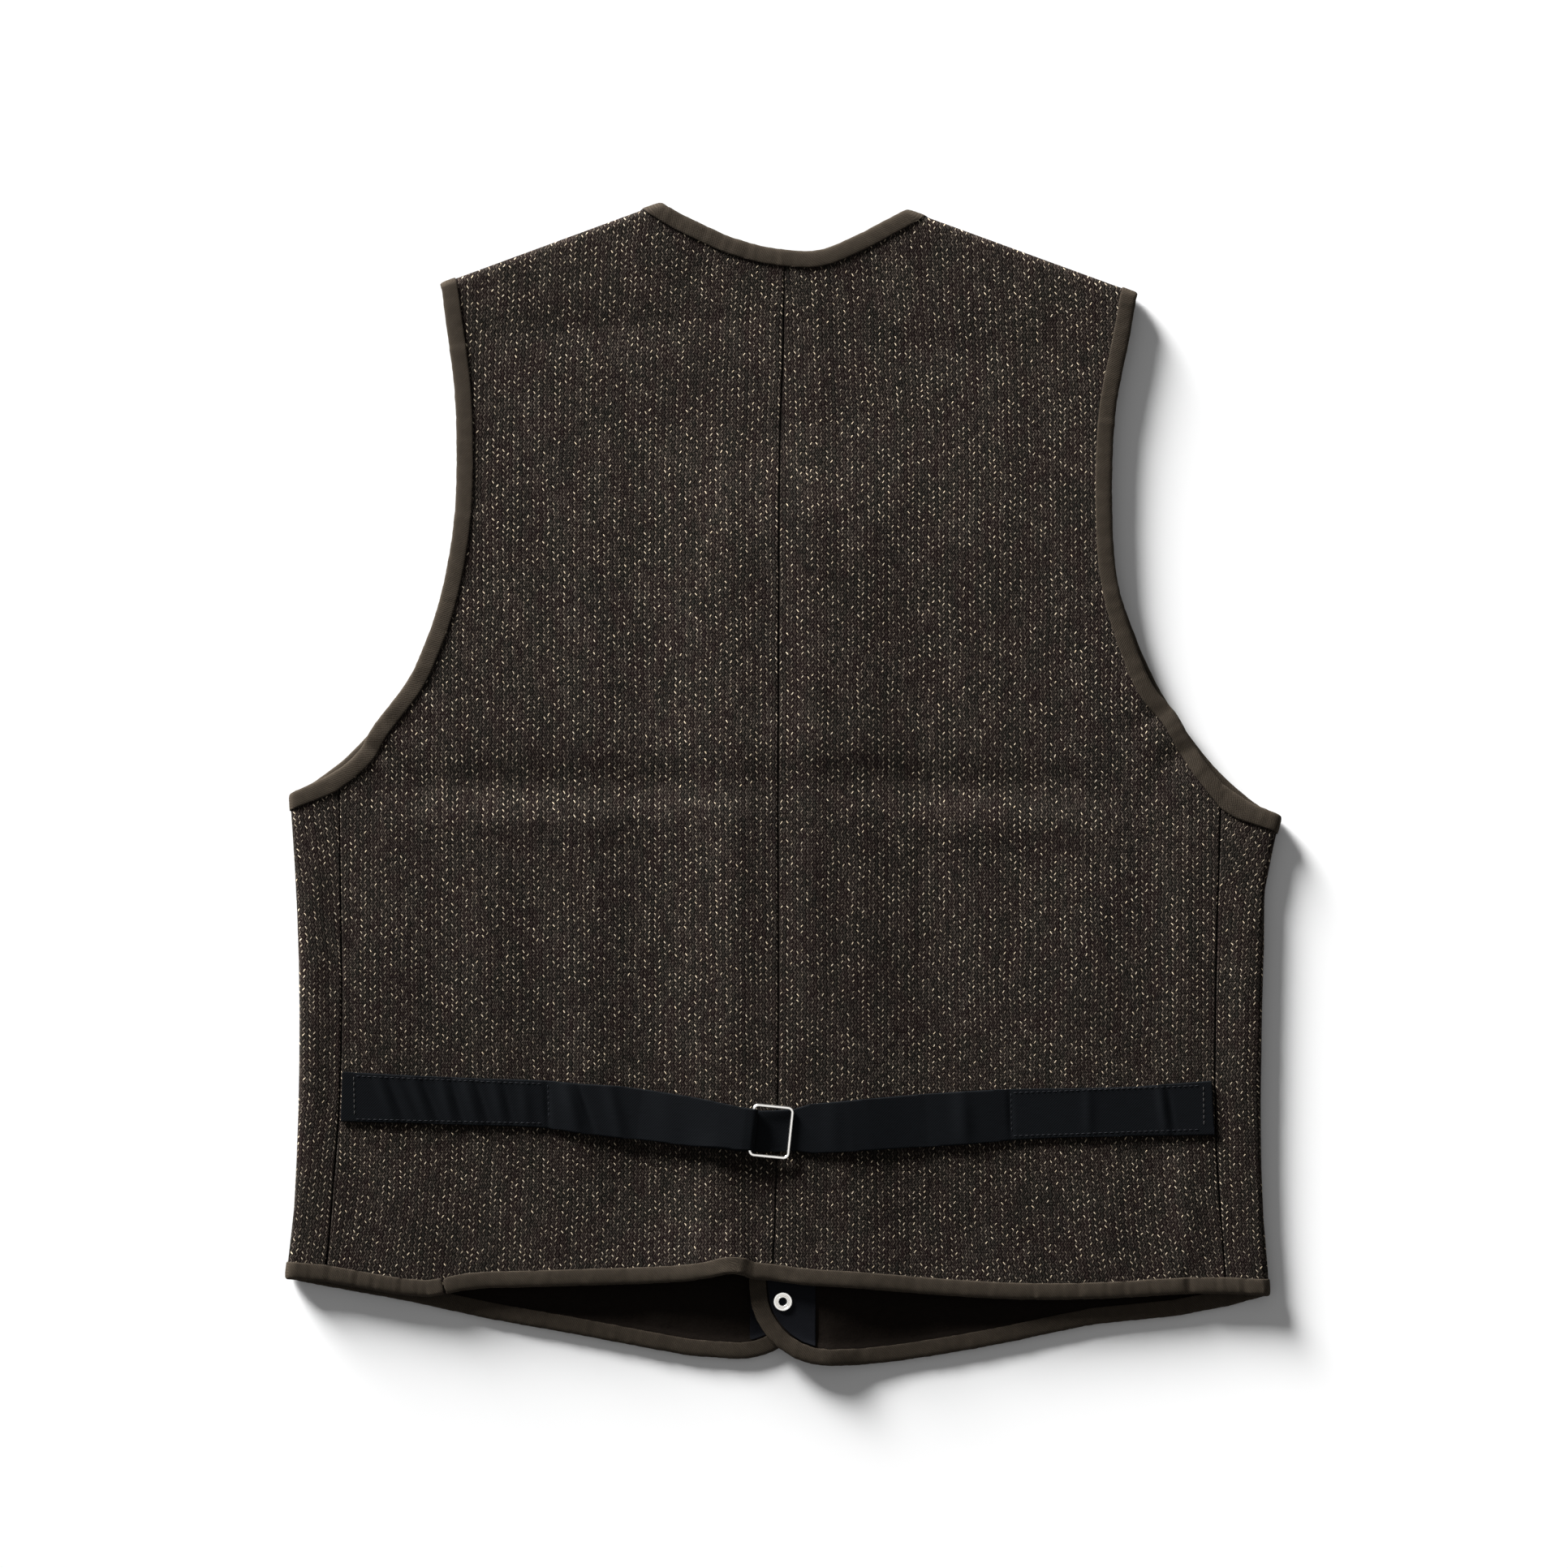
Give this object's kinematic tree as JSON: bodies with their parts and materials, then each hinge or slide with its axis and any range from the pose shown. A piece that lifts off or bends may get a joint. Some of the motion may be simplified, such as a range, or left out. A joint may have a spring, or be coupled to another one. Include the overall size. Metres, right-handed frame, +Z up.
{
  "type": "work vest, laid flat on its front, back upwards",
  "caption": "sleeveless knit work vest laid flat, back upwards, with bound edges, a snap front and a buckled cinch strap across the waist",
  "frame": {"origin": "middle of the laid vest's footprint, on the surface that it lies on", "axes": "+Z up off the surface, +Y from the hem to the neck, +X across to the wearer's right side"},
  "size_m": [0.5113, 0.5962, 0.018],
  "materials": {
    "knit": "salt and pepper heather knit, brushed inside",
    "binding": "fine diagonal twill tape",
    "facing": "plain weave, matt",
    "webbing": "plain woven strap, matt",
    "nickel": "polished"
  },
  "bodies": {
    "root": {"back_left": "knit", "back_right": "knit", "front_left": "knit", "front_right": "knit", "facing_left": "facing", "facing_right": "facing", "binding_neck_back": "binding", "binding_armhole_left": "binding", "binding_armhole_right": "binding", "binding_front_left": "binding", "binding_front_right": "binding", "strap_left": "webbing", "strap_right": "webbing", "buckle": "nickel", "snap_ring_1": "nickel", "snap_ring_2": "nickel", "snap_ring_3": "nickel", "snap_ring_4": "nickel", "snap_ring_5": "nickel", "snap_socket_1": "nickel", "snap_socket_2": "nickel", "snap_socket_3": "nickel", "snap_socket_4": "nickel", "snap_socket_5": "nickel", "snap_cap_1": "nickel", "snap_cap_2": "nickel", "snap_cap_3": "nickel", "snap_cap_4": "nickel", "snap_cap_5": "nickel"}
  },
  "joints": []
}
